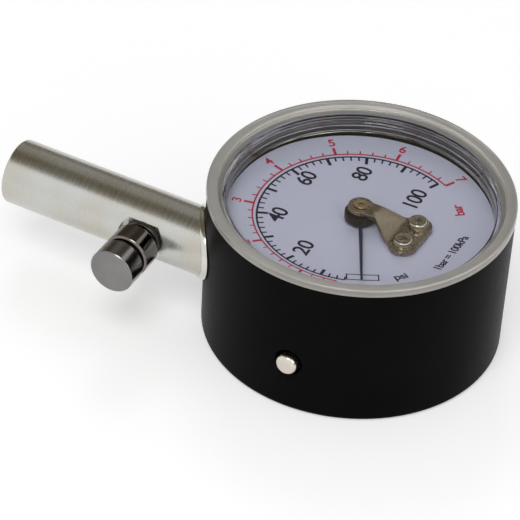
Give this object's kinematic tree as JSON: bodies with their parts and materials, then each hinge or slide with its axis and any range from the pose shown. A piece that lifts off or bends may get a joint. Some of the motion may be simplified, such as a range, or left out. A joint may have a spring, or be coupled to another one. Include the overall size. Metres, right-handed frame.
{
  "type": "tyre pressure gauge",
  "caption": "Round dial gauge with a clear screw-on lens, a metal inlet stem that presses onto a tyre valve, a bleed button on the stem and a reset pin in the case wall.",
  "frame": {"origin": "centre of the case's flat back face, on the pointer's axis", "axes": "+Z out of the dial, +Y along the inlet stem towards its open end, +X to three o'clock of the dial"},
  "size_m": [0.0563, 0.0911, 0.03],
  "materials": {
    "black_plastic": "satin moulded",
    "clear_plastic": "clear polished",
    "dial_white": "white printed",
    "chrome_plate": "satin chrome plated brass",
    "black_chrome": "dark chrome",
    "nickel": "bright nickel",
    "steel": "plain",
    "brass": "turned",
    "bronze": "drawn tube",
    "black_rubber": "matt",
    "hub_black": "gloss",
    "needle_blue": "dark painted"
  },
  "bodies": {
    "gauge_body": {"case_shell": "black_plastic", "lens": "clear_plastic", "lens_gasket": "black_rubber", "dial_plate": "dial_white", "base_plate": "steel", "base_screws": "steel", "inlet_block": "brass", "block_screws": "steel", "reset_plug": "brass", "passage_plug": "brass", "bridge_pillars": "brass", "bridge": "nickel", "bridge_bush": "brass", "bridge_screws": "nickel", "lower_bearing": "brass", "bourdon_coil": "bronze", "stem_tube": "chrome_plate", "stem_ferrule": "chrome_plate", "chuck_seal": "black_rubber", "depressor_pin": "brass", "check_spring": "steel", "check_plug": "brass", "bleed_valve_body": "black_chrome", "bleed_gasket": "black_rubber", "bleed_spring": "steel", "reset_spring": "steel"},
    "pointer_body": {"pointer_shaft": "steel", "pointer_hub": "hub_black", "pointer_needle": "needle_blue", "coil_tip_clamp": "brass"},
    "button_body": {"bleed_button": "black_chrome", "bleed_seal": "black_rubber"},
    "pin_body": {"reset_pin": "nickel", "reset_seal": "black_rubber"},
    "ball_body": {"check_ball": "steel"}
  },
  "joints": [
    {"name": "pointer_turn", "type": "hinge", "parent": "gauge_body", "child": "pointer_body", "pos_m": [0, 0, 0.023], "axis": [0, 0, -1], "range_deg": [0, 234], "stiffness_Nm_per_rad": 0.002, "deforming": ["bourdon_coil"]},
    {"name": "bleed_press", "type": "slide", "parent": "gauge_body", "child": "button_body", "axis": [1, 0, 0], "range_m": [0, 0.0008], "stiffness_N_per_m": 1500, "springref_m": -0.0004, "deforming": ["bleed_spring"]},
    {"name": "reset_press", "type": "slide", "parent": "gauge_body", "child": "pin_body", "axis": [1, 0, 0], "range_m": [0, 0.001], "stiffness_N_per_m": 1500, "springref_m": -0.0004, "deforming": ["reset_spring"]},
    {"name": "ball_lift", "type": "slide", "parent": "gauge_body", "child": "ball_body", "axis": [0, -1, 0], "range_m": [0, 0.001], "stiffness_N_per_m": 300, "springref_m": -0.0004, "deforming": ["check_spring"]}
  ]
}
